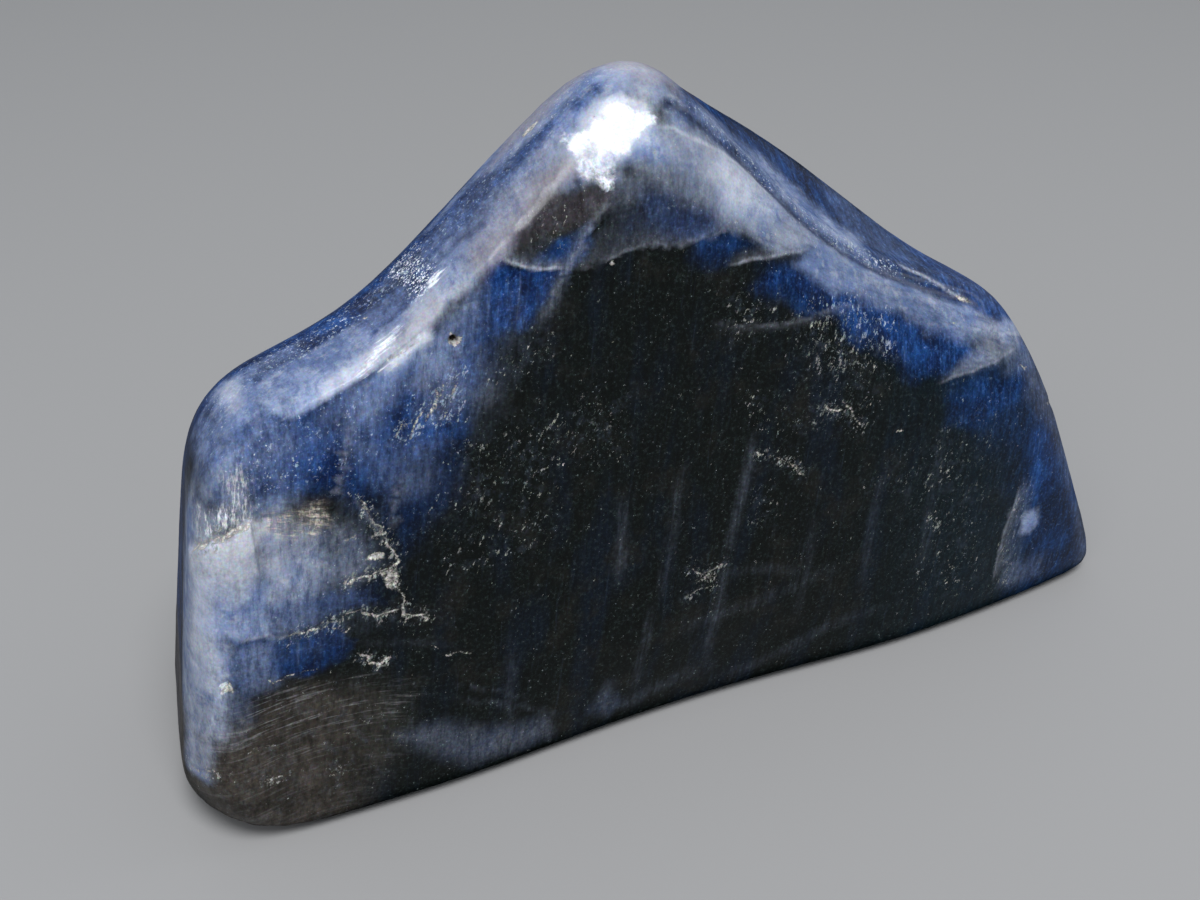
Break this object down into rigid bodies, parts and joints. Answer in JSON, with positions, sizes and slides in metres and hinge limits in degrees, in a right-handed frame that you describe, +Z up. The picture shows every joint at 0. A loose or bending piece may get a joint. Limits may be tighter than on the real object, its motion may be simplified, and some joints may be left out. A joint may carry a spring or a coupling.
{
  "type": "polished sapphire",
  "caption": "Hand-polished freeform of blue sapphire: a peaked slab on a flat base, with rounded edges, a scooped right slope and milky silk bands.",
  "frame": {"origin": "centre of the bounding box's base, on the surface that the stone stands on", "axes": "+X along the stone from its tall shoulder to its low end, +Y from the broad front face to the back, +Z up"},
  "size_m": [0.0646, 0.0228, 0.0398],
  "materials": {
    "sapphire": "polished, dark blue to near black with milky bands, silk lines and pale flecks"
  },
  "bodies": {
    "root": {"sapphire": "sapphire"}
  },
  "joints": []
}
